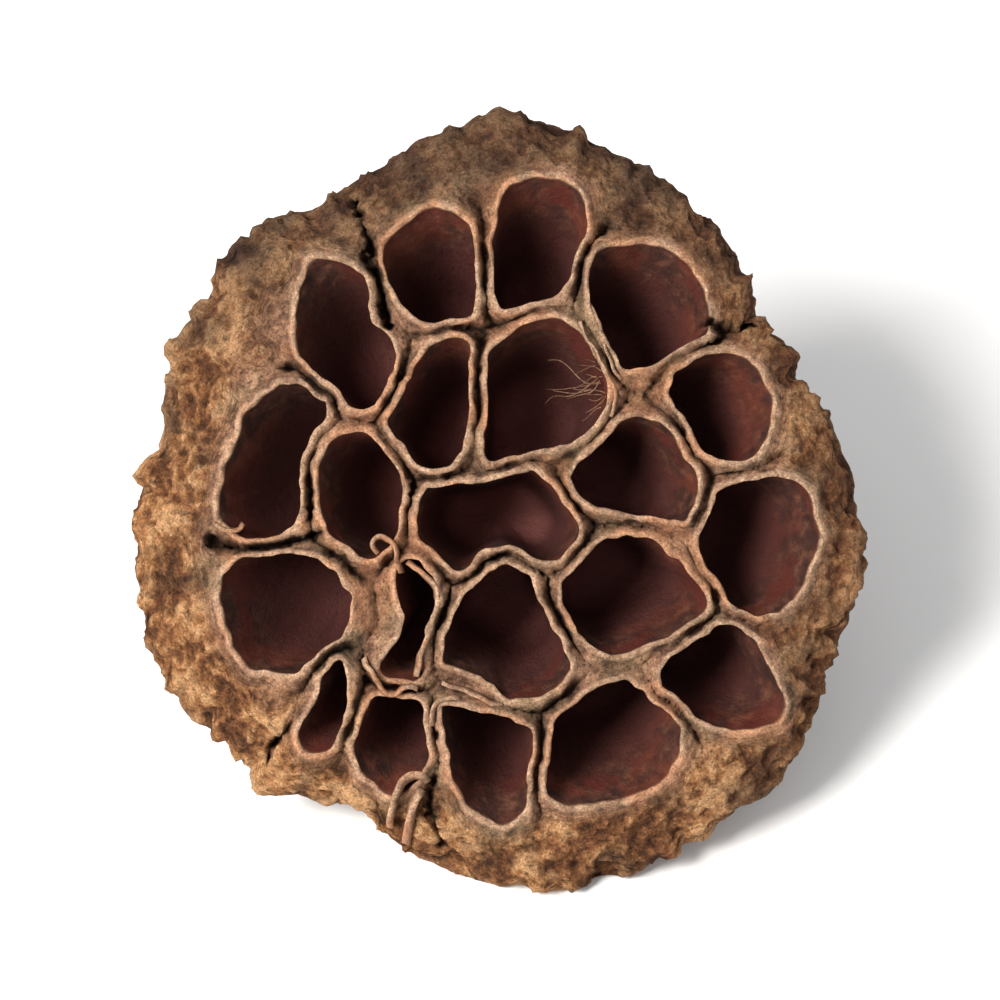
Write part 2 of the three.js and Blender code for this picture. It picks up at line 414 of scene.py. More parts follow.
def move_apart(cells):
    """Draws the mouths in wherever the wall between two of them is too thin."""
    moved = []
    for cell in cells:
        others = np.vstack([other.mouth for other in cells if other is not cell])
        gap = np.sqrt(((cell.mouth[:, None] - others) ** 2).sum(-1).min(1))
        short = rounded(np.maximum(THINNEST_WALL - gap, 0) / 2, 6)
        moved.append(cell.mouth - outward(cell.mouth) * short[:, None])
    for cell, mouth in zip(cells, moved):
        cell.mouth = mouth


CELLS = find_cells()
for _ in range(3):
    move_apart(CELLS)


def radius_at(level):
    """The radius of the outside at every angle, at one level below the edge."""
    step = np.interp(-level, -np.array(FLANK_LEVELS), np.arange(len(FLANK_LEVELS)))
    low = min(int(step), len(FLANK_LEVELS) - 2)
    return RADII[low] + (step - low) * (RADII[low + 1] - RADII[low])


def ring_points(radius, level):
    return in_3d(np.column_stack([radius * np.cos(ANGLES), radius * np.sin(ANGLES)]), level)


# -------- the relief of the face

# Clefts that run in from the edge or through torn walls, as [u, v] points: half width and depth.
CLEFTS = [
    (0.45, 3.6, [[-15.6, 34.5], [-14.6, 29.5], [-13.2, 25.5], [-12.3, 21.5], [-11.6, 18]]),
    (0.4, 3.0, [[26.4, 18.6], [23.4, 17.6], [21.6, 18.6]]),
    (0.4, 2.6, [[-25.6, -28.2], [-23.6, -25.6], [-21.8, -23.4]]),
    (0.4, 2.2, [[-6, -36.6], [-6.6, -33.8], [-7.3, -31.5], [-6.8, -28.8]]),
    (0.4, 2.6, [[-29.8, -4.2], [-27, -5.2], [-22, -4.4], [-18.6, -3.2]]),
]

# Torn walls that stand up and curl, as [u, v] points: width, height and line.
FOLDS = [
    (0.55, 1.2, [[-12.6, -5.6], [-13.2, -4.8], [-13.1, -4.1], [-12.1, -3.8], [-11.1, -4.4],
                 [-10.6, -5.8], [-10.2, -7.6]]),
    (0.6, 0.9, [[-9.6, -6.4], [-8.2, -7.4], [-6.7, -8.8], [-6.3, -10.3], [-7.1, -13.5],
                [-8.4, -16.3], [-8.6, -18.3]]),
    (0.6, 0.9, [[-14.2, -16.4], [-13, -18.3], [-12.1, -19.8], [-11.1, -20.2], [-9.7, -19.2],
                [-8.5, -19.6]]),
    (0.85, 1.4, [[-11.3, -34.2], [-11.2, -32.6], [-10.9, -30.6], [-10, -29.1], [-8.2, -28.4],
                 [-7.4, -29.2]]),
    (0.9, 1.2, [[-8.1, -29.9], [-9.2, -31.6], [-9.2, -33.8], [-9.8, -35.7]]),
    (0.6, 0.9, [[-6.9, -23.4], [-6.9, -21.4], [-5.6, -20.3], [-4, -20.7]]),
    (0.5, 0.8, [[-6, -18.9], [-3, -19.9], [0.2, -21.4]]),
    (0.4, 1.0, [[9.2, 20.4], [10.1, 18.6], [10.9, 15.8], [11.8, 13.6], [12.6, 12.4]]),
    (0.4, 0.8, [[8.2, 18.4], [9.4, 16], [10.8, 13.6], [11.7, 12], [12, 10.2], [11.4, 8.6]]),
    (0.5, 0.9, [[-29.6, -2.2], [-28.6, -3.1], [-27.2, -3.2], [-26.6, -2.4]]),
]


def along(points):
    """Fine points along a line of [u, v] points."""
    points = np.array(points, float)
    return places_along(points, np.arange(0, run_along(points)[-1], LINE_STEP))


def distances(points, targets, starts):
    """For each point, the distance to the nearest target of each group that starts there."""
    found = np.empty((len(points), len(starts)))
    own = (targets**2).sum(1)
    for at in range(0, len(points), 2000):
        part = points[at : at + 2000]
        squares = own - 2 * part @ targets.T
        nearest = np.minimum.reduceat(squares, starts, axis=1) + (part**2).sum(1)[:, None]
        found[at : at + 2000] = np.sqrt(np.maximum(nearest, 0))
    return found


class Surroundings:
    """Where points of the face lie among the cells and the cracks."""

    def __init__(self, points):
        loops = [evenly(cell.mouth, 3 * len(cell.mouth)) for cell in CELLS]
        starts = np.cumsum([0] + [len(loop) for loop in loops[:-1]])
        each = distances(points, np.vstack(loops), starts)
        order = np.argsort(each, axis=1)
        near = np.take_along_axis(each, order, axis=1)
        self.points = points
        self.cell = order[:, 0]
        self.out = near[:, 0]  # from the nearest mouth
        self.gap = near[:, 0] + near[:, 1]  # between the two nearest mouths
        self.off_line = (near[:, 1] - near[:, 0]) / 2  # from the line midway between them

    def crack(self):
        """How open the crack between two cells is here, from 0 to 1, and how far away it is."""
        flat = in_3d(self.points)
        patchy = OPEN_SHARE + OPEN_SLANT * self.points[:, 0] + bumpy(flat, CRACK_PATCHES)
        narrow = 1 - smoothstep(*CRACK_GAPS, self.gap)
        off = np.abs(self.off_line + bumpy(flat, CRACK_WANDER))
        return np.clip(patchy, 0, 1) * narrow, off

    def own_wall(self):
        """How much higher or lower the nearest cell's own wall stands here."""
        middles = np.array([cell.middle for cell in CELLS])[self.cell]
        away = self.points - middles
        around = away / np.hypot(*away.T)[:, None]
        lift = bumpy(in_3d(around, self.cell * WALL_APART), WALL_HEIGHTS)
        return lift * (1 - smoothstep(*WALL_END, self.out))

    def relief(self):
        """How far the lips, the furrows and the cracks move the face, and how dark its painted
        shade is.
        """
        open_, off = self.crack()
        flat = in_3d(self.points)
        rise = LIP_RISE * (0.95 + sum(bumpy(flat, layer) for layer in LIP_HEIGHTS))
        width = LIP_WIDTH * (1.05 + bumpy(flat, LIP_WIDTHS))
        lip = rise * np.exp(-(((self.out - LIP_REACH) / width) ** 2))
        reach = np.maximum(self.gap / 2 - FURROW_START, 0.2)
        sunk = np.clip((self.out - FURROW_START) / reach, 0, 1) ** 2
        sunk = sunk * (1 - smoothstep(*FURROW_GAPS, self.gap))
        ripple = np.sin(2 * math.pi * (self.out / RIPPLE_LENGTH + bumpy(flat, RIPPLE_WANDER)))
        ripple = RIPPLE * ripple * smoothstep(*RIPPLE_START, self.out)
        ripple = ripple * (1 - smoothstep(*RIPPLE_END, self.out))
        slot = open_ * (1 - smoothstep(*CRACK_SIDE, off))
        # painted shade in the crack, and a little beside it
        dark = np.maximum(slot, 0.4 * open_ * (1 - smoothstep(*CRACK_SHADE, off)))
        height = self.own_wall() + lip + ripple - FURROW * sunk - CRACK_DEPTH * slot
        for half, depth, line in CLEFTS:
            away = distances(self.points, along(line), [0])[:, 0] + bumpy(flat, CLEFT_WANDER)
            height = height - depth * (1 - smoothstep(0.3 * half, 1.3 * half, away))
            # painted shade in the clefts
            dark = np.maximum(dark, 1 - smoothstep(0.5 * half, 1.5 * half, away))
        return height, dark

    def lip(self):
        """1 on the raised lips around the mouths, 0 elsewhere."""
        return 1 - smoothstep(*LIP_END, self.out)

    def rim(self):
        """From 0 among the cells to 1 on the broad margin."""
        share = np.hypot(*self.points.T) / edge_at(self.points)
        share = share + bumpy(in_3d(self.points), RIM_WANDER)
        return smoothstep(*RIM_CLEAR, self.out) * smoothstep(*RIM_SHARES, share)

    def grain(self):
        """A place whose noise runs along the walls between the cells, and along the edge."""
        rim = self.rim()
        across = (1 - rim) * self.out - rim * (edge_at(self.points) - np.hypot(*self.points.T))
        return in_3d(STRETCH * self.points, across)


# -------- the points of the face


def inside(points, loop):
    """Which points are inside a closed loop."""
    x, y = points[:, :1], points[:, 1:]
    ax, ay = loop.T
    bx, by = np.roll(loop, -1, 0).T
    with np.errstate(divide="ignore", invalid="ignore"):
        crossing = ((ay > y) != (by > y)) & (x < ax + (bx - ax) * (y - ay) / (by - ay))
    return crossing.sum(1) % 2 == 1


def in_a_cell(points):
    return np.any([inside(points, cell.mouth) for cell in CELLS], axis=0)


def thinned(points, apart):
    """At most one point in each square of a grid."""
    return points[np.unique(np.floor(points / apart).astype(int), axis=0, return_index=True)[1]]


def beside_mouths():
    """Points at set distances outside each mouth, where no other mouth is nearer."""
    points, owner, wanted = [], [], []
    for number, cell in enumerate(CELLS):
        for away in LIP_RINGS:
            points.append(cell.mouth + away * outward(cell.mouth))
            owner += [number] * len(cell.mouth)
            wanted += [away] * len(cell.mouth)
    points, owner, wanted = np.vstack(points), np.array(owner), np.array(wanted)
    around = Surroundings(points)
    clear = (around.cell == owner) & (np.abs(around.out - wanted) < 0.06)
    return points[clear & (around.off_line > 1.6 * SIDE_STEP)]


def along_cracks():
    """Points on the lines midway between two mouths, and beside them."""
    steps = np.arange(0.3, 3.3, 0.1)
    lines, sides = [], []
    for number, cell in enumerate(CELLS):
        normals = outward(cell.mouth)
        rays = cell.mouth[:, None] + steps[:, None] * normals[:, None]
        around = Surroundings(rays.reshape(-1, 2))
        foreign = around.cell.reshape(len(rays), -1) != number
        off_line = around.off_line.reshape(len(rays), -1)
        for i in np.flatnonzero(foreign.any(1) & ~foreign[:, 0]):
            last = foreign[i].argmax() - 1
            reach = steps[last] + off_line[i, last]
            lines.append(cell.mouth[i] + reach * normals[i])
            if reach > 2.2 * SIDE_STEP:
                sides.append(cell.mouth[i] + (reach - SIDE_STEP) * normals[i])
    return np.vstack([thinned(np.array(lines), SIDE_STEP), sides])


def open_face():
    """Points scattered evenly over the rest of the face."""
    rng = np.random.default_rng(SEED)
    side = np.arange(-FACE_RADIUS * 1.2, FACE_RADIUS * 1.2, FILL_STEP)
    grid = np.stack(np.meshgrid(side, side * math.sqrt(0.75)), -1)
    grid[::2, :, 0] += FILL_STEP / 2
    points = grid.reshape(-1, 2) + rng.uniform(-0.16, 0.16, (grid.size // 2, 2)) * FILL_STEP
    points = points[np.hypot(*points.T) < FACE_SHARE * edge_at(points) - 0.7 * FILL_STEP]
    points = points[~in_a_cell(points)]
    around = Surroundings(points)
    off_crack = (around.off_line > 1.8 * SIDE_STEP) | (around.gap > 6.2)
    return points[(around.out > LIP_RINGS[-1] + 0.6 * FILL_STEP) & off_crack]


# -------- the husk's mesh


class Skin:
    """The points and the faces of the husk, with what its material needs to know at each point."""

    def __init__(self):
        self.blocks = []
        self.quads, self.triangles = [], []
        self.count = 0

    def add(self, points, grain, lip=0.0, crack=0.0, rim=0.0, flank=0.0, below=0.0):
        """Adds points, and returns their indices."""
        kinds = [np.broadcast_to(kind, len(points)) for kind in (lip, crack, rim, flank, below)]
        self.blocks.append(np.column_stack([points, grain, *kinds]))
        self.count += len(points)
        return np.arange(self.count - len(points), self.count)

    def join(self, ring, onward):
        """Faces between two closed rings, seen from the side where the onward ring is nearer."""
        self.quads.append(np.column_stack([ring, onward, np.roll(onward, -1), np.roll(ring, -1)]))

    def close(self, ring, middle):
        around = np.roll(ring, -1)
        self.triangles.append(np.column_stack([ring, np.full(len(ring), middle), around]))

    def finished(self):
        """The points, their grain, their kinds, the quads and the triangles."""
        points, grain, kinds = np.hsplit(np.vstack(self.blocks), [3, 6])
        return points, grain, kinds.T, np.vstack(self.quads), np.vstack(self.triangles)


def triangulated(loops, points):
    """Triangles that keep to the loops: their points, the faces, and each loop's indices."""
    given = np.vstack([*loops, points])
    edges, start = [], 0
    for loop in loops:
        edges += [(start + i, start + (i + 1) % len(loop)) for i in range(len(loop))]
        start += len(loop)
    corners = [Vector(point) for point in given]
    vertices, _, faces, origins, _, _ = delaunay_2d_cdt(corners, edges, [], 0, MERGED)
    made = np.empty(len(given), int)
    for index, sources in enumerate(origins):
        made[sources] = index
    ends = np.cumsum([0] + [len(loop) for loop in loops])
    rings = [made[a:b] for a, b in zip(ends, ends[1:])]
    return np.array([tuple(v) for v in vertices]), np.array(faces), rings


def skin_face(skin):
    """The face between the mouths and the margin. Returns the mouths' rings and the margin's."""
    margin = ring_points(FACE_SHARE * EDGE, 0)[:, :2]
    loose = np.vstack([beside_mouths(), along_cracks(), open_face()])
    flat, faces, rings = triangulated([*(cell.mouth for cell in CELLS), margin], loose)
    middles = flat[faces].mean(1)
    faces = faces[inside(middles, margin) & ~in_a_cell(middles)]
    around = Surroundings(flat)
    height, dark = around.relief()
    points = in_3d(flat, level_at(flat) + height)
    indices = skin.add(points, around.grain(), lip=around.lip(), crack=dark, rim=around.rim())
    skin.triangles.append(indices[faces])
    return [indices[ring] for ring in rings[:-1]], indices[rings[-1]]


def skin_cell(skin, cell, ring):
    """The wall and the floor of one cell, from the indices of the points of its mouth."""
    top = np.vstack(skin.blocks)[ring, 2]
    rows = [(below, 1.0) for below in CELL_ROWS if below < 0.55 * cell.depth]
    rows += [(share * cell.depth, width) for share, width in FLOOR_ROWS]
    for count, (below, width) in enumerate(rows):
        loop = rounded(cell.mouth, 2 * count)
        grain = in_3d(STRETCH * loop, -0.5 * below)
        pleats = bumpy(in_3d(loop, below / 7), PLEATS) * smoothstep(0, 2, below)
        loop = loop + outward(loop) * (UNDERCUT * smoothstep(0, 1, below) + pleats)[:, None]
        loop = cell.middle + width * (loop - cell.middle)
        loop = loop * (1 - below / CELL_FOCUS)
        level = cell.level - below + (top - cell.level) * math.exp(-below / 1.5)
        lower = skin.add(in_3d(loop, level), grain, below=below)
        skin.join(lower, ring)
        ring = lower
    floor = in_3d((cell.middle * (1 - cell.depth / CELL_FOCUS))[None], cell.level - cell.depth)
    grain = in_3d(STRETCH * cell.middle[None], -0.5 * cell.depth)
    skin.close(ring[::-1], skin.add(floor, grain, below=cell.depth)[0])


def skin_outside(skin, ring):
    """The margin's edge, the flank and the scar, from the indices of the points of the margin."""
    rows = []
    for onward in MARGIN_SHARES:
        share = FACE_SHARE + (1 - FACE_SHARE) * onward
        rows.append((share * EDGE, face_level(share)))
    for level in np.concatenate([np.arange(*levels) for levels in FLANK_ROWS]):
        rows.append((radius_at(level), level))
    for share in SCAR_SHARES:
        rows.append((share * radius_at(FLANK_LEVELS[-1]), -HEIGHT + SCAR_HOLLOW * (1 - share)))
    for radius, level in rows:
        flank = smoothstep(*FLANK_START, level)
        points = ring_points(radius, level)
        grain = in_3d(STRETCH * points[:, :2], radius - EDGE - level + face_level(1))
        lower = skin.add(points, grain, rim=1 - flank, flank=flank)
        skin.join(ring, lower)
        ring = lower
    middle = np.array([[0, 0, SCAR_HOLLOW - HEIGHT]])
    skin.close(ring, skin.add(middle, middle, flank=1)[0])


def normals_of(points, quads, triangles):
    """The surface's normal at each point."""
    normals = np.zeros_like(points)
    for a, b, c in [triangles.T, quads[:, :3].T, quads[:, [2, 3, 0]].T]:
        across = np.cross(points[b] - points[a], points[c] - points[a])
        for corner in (a, b, c):
            np.add.at(normals, corner, across)
    return normals / np.maximum(np.linalg.norm(normals, axis=1), 1e-12)[:, None]


def streaks_of(points):
    """A place whose noise runs down the flank from the edge to the scar."""
    angle = angle_of(points)
    edge = edge_at(points[:, :2])
    return np.column_stack([edge * np.cos(angle), edge * np.sin(angle), 0.2 * points[:, 2]])


def roughened(points, grain, kinds, quads, triangles):
    """The points moved along the surface's normals, and how high each one then stands.

    The margin gets lumps and fibres, the flank gets wrinkles, and the tissue a little of both.
    """
    lip, _, rim, flank, below = kinds
    normals = normals_of(points, quads, triangles)
    warp = swaying(points, 2.2, seed=55)
    lumps = bumpy(points + warp, MARGIN_LUMPS) + creased(grain + 0.3 * warp, MARGIN_FLAKES)
    lumps = lumps + bumpy(points, MARGIN_GRIT)
    streaks = streaks_of(points) + 1.2 * swaying(points, 5, seed=65)
    folds = bumpy(streaks, FLANK_FOLDS) + creased(streaks, FLANK_CREASES)
    folds = folds + bumpy(points, FLANK_GRIT)
    taper = np.clip(np.hypot(*points[:, :2].T) / FACE_RADIUS, 0.12, 1) ** 0.7
    tissue = bumpy(points, TISSUE_LUMPS) + creased(grain, TISSUE_FLAKES)
    face = (1 - flank) * (below == 0) * (1 - 0.7 * lip)
    move = face * (rim * lumps + (1 - rim) * tissue) + flank * taper * folds
    return points + normals * move[:, None], move


def ragged(points, rim):
    """The edge of the margin torn in and out."""
    radius = np.hypot(*points[:, :2].T)
    angle = angle_of(points)
    out = in_3d(np.column_stack([np.cos(angle), np.sin(angle)]))
    circle = out * FACE_RADIUS
    height, size, octaves, seed = NOTCHES
    tear = sum(bumpy(circle, layer) for layer in TEARS)
    tear = tear - height * ridged(circle / size, octaves, seed) ** 4
    tear = tear * (0.5 + 1.1 * smoothstep(-0.4, 0.5, bumpy(circle, TEAR_PATCHES)))
    tear = np.minimum(tear, 0.55 + 0.3 * tear)  # what stands out is blunter than what is torn in
    near = np.exp(-(((points[:, 2] - EDGE_LEVEL) / EDGE_REACH) ** 2)) * rim
    near = near * (radius > 0.9 * edge_at(points[:, :2]))
    move = out * (near * tear)[:, None]
    move[:, 2] += near * bumpy(circle, EDGE_LIFT)
    return points + move


def to_row(points):
    """From the face's frame in millimetres to the row's frame in metres, above the ground."""
    placed = (points + ORIGIN) @ AXES * MM
    placed[:, 2] = np.maximum(placed[:, 2], 0)
    return placed


def mesh_object(name, points, faces, material):
    mesh = bpy.data.meshes.new(name)
    mesh.from_pydata(points.tolist(), [], faces)
    mesh.shade_smooth()
    mesh.materials.append(material)
    piece = bpy.data.objects.new(name, mesh)
    bpy.context.collection.objects.link(piece)
    return piece


def add_kinds(piece, places, kinds):
    """Stores what the material reads at each point."""
    for name, values in [*zip(KINDS, kinds), *places.items()]:
        kind, field = ("FLOAT", "value") if values.ndim == 1 else ("FLOAT_VECTOR", "vector")
        stored = piece.data.attributes.new(name, kind, "POINT")
        stored.data.foreach_set(field, values.astype(np.float32).ravel())


def make_husk(material):
    skin = Skin()
    mouths, margin = skin_face(skin)
    for cell, ring in zip(CELLS, mouths):
        skin_cell(skin, cell, ring)
    skin_outside(skin, margin)
    points, grain, kinds, quads, triangles = skin.finished()
    points = ragged(points, kinds[KINDS.index("rim")])
    points, high = roughened(points, grain, kinds, quads, triangles)
    husk = mesh_object("husk", to_row(points), quads.tolist() + triangles.tolist(), material)
    add_kinds(husk, {"grain": grain, "streak": streaks_of(points)}, [*kinds, high])
    return husk


# -------- torn walls and fibres


def curved(points, count):
    """Points evenly spaced along a smooth curve through a few points."""
    points = np.array(points, float)
    for _ in range(3):
        early = 0.75 * points[:-1] + 0.25 * points[1:]
        late = 0.25 * points[:-1] + 0.75 * points[1:]
        middle = np.column_stack([early, late]).reshape(-1, points.shape[1])
        points = np.vstack([points[:1], middle, points[-1:]])
    return places_along(points, np.linspace(0, run_along(points)[-1], count))


def tube_faces(rings, sides, start):
    """The faces of a closed tube: its sides, and a fan at each end."""
    faces = []
    for i in range(rings - 1):
        a, b = start + i * sides, start + (i + 1) * sides
        faces += [(a + k, a + (k + 1) % sides, b + (k + 1) % sides, b + k) for k in range(sides)]
    faces.append(tuple(start + k for k in reversed(range(sides))))
    faces.append(tuple(start + (rings - 1) * sides + k for k in range(sides)))
    return faces


def fold_points(width, height, line, seed):
    """Rings of points across a torn wall, and how pale each point is."""
    path = curved(line, int(4 * run_along(line)[-1]) + 6)
    ahead = np.gradient(path, axis=0)
    side = np.column_stack([ahead[:, 1], -ahead[:, 0]]) / np.linalg.norm(ahead, axis=1)[:, None]
    path = path + side * (0.16 * noise(in_3d(path / 0.9), seed=seed))[:, None]
    ends = np.minimum(np.linspace(0, 1, len(path)), np.linspace(1, 0, len(path)))
    swell = smoothstep(-0.02, 0.12, ends) * (1 + 0.45 * noise(in_3d(path / 1.3), seed=seed + 1))
    base = level_at(path)
    rings, pale = [], []
    for across, up in FOLD_SECTION:
        lean = across + 0.5 * max(up, 0) * noise(in_3d(path / 2.4), seed=seed + 2)
        place = path + side * (width * lean)[:, None]
        rings.append(in_3d(place, base + up * np.where(up > 0, height * swell, 1)))
        pale.append(np.full(len(path), smoothstep(0.2, 0.9, up)))
    return np.stack(rings, 1), np.stack(pale, 1)


def add_strands(name, strands, material, stretch, lips):
    """One piece made of strands that are each given as rings of points."""
    faces, count = [], 0
    for rings in strands:
        faces += tube_faces(*rings.shape[:2], count)
        count += rings.shape[0] * rings.shape[1]
    points = np.vstack([rings.reshape(-1, 3) for rings in strands])
    piece = mesh_object(name, to_row(points), faces, material)
    none = np.zeros(len(points))
    places = {"grain": points * stretch, "streak": streaks_of(points)}
    add_kinds(piece, places, [none + lips, none, none, none, none, none])
    return piece


def make_folds(material):
    folds = [fold_points(*fold, 100 + 5 * number) for number, fold in enumerate(FOLDS)]
    lips = np.concatenate([pale.ravel() for _, pale in folds])
    strands = [rings for rings, _ in folds]
    return add_strands("torn_walls", strands, material, [STRETCH, STRETCH, 1], lips)


def tube(path, radius, taper):
    """Rings of points around a path, narrowing to a share of the radius at its end."""
    ahead = np.gradient(path, axis=0)
    side = np.cross(ahead, [0.2, 0.1, 1])
    side /= np.linalg.norm(side, axis=1)[:, None]
    up = np.cross(side, ahead)
    up /= np.linalg.norm(up, axis=1)[:, None]
    radius = radius * np.linspace(1, taper, len(path))[:, None]
    turns = np.linspace(0, 2 * math.pi, 6, endpoint=False)
    return np.stack([path + radius * (math.cos(t) * side + math.sin(t) * up) for t in turns], 1)


def fibre_points(rng):
    """Rings of points along one thin fibre that hangs in the torn cell."""
    start = FIBRE_ROOT + rng.normal(0, [0.5, 2.2, 0.3])
    reach = rng.uniform(*FIBRE_LENGTH)
    swing = math.radians(rng.uniform(*FIBRE_HEADING))
    heading = np.array([math.cos(swing), math.sin(swing), rng.uniform(-1.2, -0.1)])
    bends = rng.normal(0, 0.1 * reach, (2, 3))
    nearer = start + 0.35 * reach * heading + bends[0]
    farther = start + 0.7 * reach * heading + bends[1]
    path = curved([start, nearer, farther, start + reach * heading], 16)
    return tube(path, rng.uniform(*FIBRE_RADIUS), 0.4)


def stub_points(rng):
    """Rings of points along one torn end of the stem's skin, at the edge of the scar."""
    turn = rng.uniform(0, 2 * math.pi)
    out = np.array([math.cos(turn), math.sin(turn), 0])
    start = out * rng.uniform(0.55, 0.98) * SCAR_RADIUS + [0, 0, 0.7 - HEIGHT]
    tip = start + out * rng.uniform(-0.6, 0.8) + [0, 0, -rng.uniform(*STUB_LENGTH)]
    path = curved([start, (start + tip) / 2 + rng.normal(0, 0.15, 3), tip], 6)
    return tube(path, rng.uniform(*STUB_RADIUS), 0.35)


def make_fibres(material):
    rng = np.random.default_rng(SEED)
    strands = [fibre_points(rng) for _ in range(FIBRES)]
    strands += [stub_points(rng) for _ in range(STUBS)]
    return add_strands("fibres", strands, material, 1, 0.1)


# -------- the material


def linear(red, green, blue):
    """A colour from its screen values of 0 to 255."""
    def channel(value):
        value /= 255
        return value / 12.92 if value <= 0.04045 else ((value + 0.055) / 1.055) ** 2.4

    return channel(red), channel(green), channel(blue), 1


class Nodes:
    """A material's nodes, made as expressions: sockets and numbers go in, a socket comes out."""

    def __init__(self, name):
        self.material = bpy.data.materials.new(name)
        self.material.use_nodes = True
        self.tree = self.material.node_tree
        self.tree.nodes.clear()

    def make(self, kind, inputs, **settings):
        node = self.tree.nodes.new(kind)
        for setting, value in settings.items():
            setattr(node, setting, value)
        for socket, value in inputs.items():
            if isinstance(value, bpy.types.NodeSocket):
                self.tree.links.new(value, node.inputs[socket])
            else:
                node.inputs[socket].default_value = value
        return node

    def attribute(self, name):
        node = self.make("ShaderNodeAttribute", {}, attribute_name=name)
        return node.outputs["Fac" if name in KINDS else "Vector"]

    def place(self):
        """The position on the piece, in millimetres."""
        coordinates = self.make("ShaderNodeTexCoord", {}).outputs["Object"]
        inputs = {0: coordinates, 3: 1 / MM}
        return self.make("ShaderNodeVectorMath", inputs, operation="SCALE").outputs[0]

    def vector_math(self, operation, *values):
        inputs = dict(enumerate(values))
        return self.make("ShaderNodeVectorMath", inputs, operation=operation).outputs[0]

    def shift(self, vector, offset):
        return self.vector_math("ADD", vector, offset)

    def noise(self, vector, size, detail, roughness=0.55, distortion=0.0):
        """Noise from 0 to 1 whose features are about one size in millimetres."""
        inputs = {"Vector": vector, "Scale": 1 / size, "Detail": detail, "Roughness": roughness,
                  "Distortion": distortion}
        return self.make("ShaderNodeTexNoise", inputs).outputs["Fac"]

    def bent(self, vector, size, amount):
        """The vector moved about by noise."""
        inputs = {"Vector": vector, "Scale": 1 / size, "Detail": 2.0}
        colour = self.make("ShaderNodeTexNoise", inputs).outputs["Color"]
        away = self.shift(colour, (-0.5, -0.5, -0.5))
        return self.vector_math("MULTIPLY_ADD", away, (amount, amount, amount), vector)

    def crumbs(self, vector, size):
        """0 in the middle of rounded crumbs and 1 between them."""
        inputs = {"Vector": vector, "Scale": 1 / size}
        return self.make("ShaderNodeTexVoronoi", inputs).outputs["Distance"]

    def axis(self, vector, name):
        return self.make("ShaderNodeSeparateXYZ", {0: vector}).outputs[name]

    def math(self, operation, *values):
        return self.make("ShaderNodeMath", dict(enumerate(values)), operation=operation).outputs[0]

    def weighted(self, *shares):
        """The sum of some sockets, each times its weight."""
        total = 0.0
        for value, weight in shares:
            total = self.math("MULTIPLY_ADD", value, weight, total)
        return total

    def mapped(self, value, low, high, to_low=0.0, to_high=1.0):
        inputs = {0: value, 1: low, 2: high, 3: to_low, 4: to_high}
        return self.make("ShaderNodeMapRange", inputs, interpolation_type="SMOOTHSTEP").outputs[0]

    def mixed(self, share, a, b, blend="MIX"):
        inputs = {0: share, 6: a, 7: b}
        return self.make("ShaderNodeMix", inputs, data_type="RGBA", blend_type=blend).outputs[2]

    def ramp(self, value, stops):
        node = self.make("ShaderNodeValToRGB", {0: value})
        for _ in stops[2:]:
            node.color_ramp.elements.new(0.5)
        for element, (place, colour) in zip(node.color_ramp.elements, stops):
            element.position, element.color = place, linear(*colour)
        return node.outputs[0]

    def bump(self, height, distance, before=None):
        inputs = {"Height": height, "Distance": distance * MM}
        if before is not None:
            inputs["Normal"] = before
        return self.make("ShaderNodeBump", inputs).outputs[0]


# The colours, as screen values of 0 to 255. A ramp runs from the hollows of a surface to its
# highest places.
TISSUE = (
    (0.36, (54, 37, 28)), (0.46, (108, 77, 59)), (0.55, (150, 111, 85)), (0.68, (192, 151, 119)),
)
OLIVE_TISSUE = ((0.36, (42, 37, 27)), (0.5, (92, 80, 56)), (0.68, (142, 124, 92)))
WARM_TISSUE = (164, 106, 70)
# the palest stop is a painted highlight on the margin's raised places
MARGIN_WITH_HIGHLIGHTS = (
    (0.32, (64, 38, 24)), (0.43, (130, 83, 51)), (0.53, (180, 125, 79)), (0.64, (224, 172, 122)),
)
DULL_MARGIN = ((0.34, (50, 36, 26)), (0.5, (104, 80, 56)), (0.68, (160, 126, 94)))
# painted shade: the margin's colour towards the back
BACK_SHADE = (66, 46, 38)
# painted shade: the margin's colour towards the right
SHADED = (96, 60, 40)
BETWEEN_CRUMBS = (66, 39, 24)
FLECK = (48, 29, 20)
LIP = ((0.3, (156, 119, 92)), (0.7, (226, 187, 154)))
WARM_LIP = (210, 142, 98)
FLANK = (
    (0.34, (84, 54, 45)), (0.47, (122, 84, 71)), (0.56, (156, 117, 102)), (0.68, (192, 158, 140)),
)
GREY_FLANK = ((0.36, (62, 47, 39)), (0.5, (122, 98, 82)), (0.68, (180, 156, 136)))
FLANK_FIBRE = (70, 44, 35)
CELL_WALL = ((0.3, (38, 19, 15)), (0.5, (66, 36, 27)), (0.7, (104, 66, 48)))
WARM_WALL = (112, 50, 32)
RUDDY_WALL = (80, 31, 21)
DEEP_WALL = (70, 33, 29)
CELL_FLOOR = (142, 86, 80)
# painted shade in the cracks and clefts
CRACK_SHADOW = (32, 21, 16)


def tissue_colour(n, relief, cloudy, warm):
    """The face between the cells: brown, olive in places and warmer in others."""
    colour = n.ramp(relief, TISSUE)
    colour = n.mixed(n.mapped(cloudy, 0.45, 0.62, 0.0, 0.55), colour, n.ramp(relief, OLIVE_TISSUE))
    return n.mixed(n.math("MULTIPLY", warm, 0.35), colour, linear(*WARM_TISSUE))


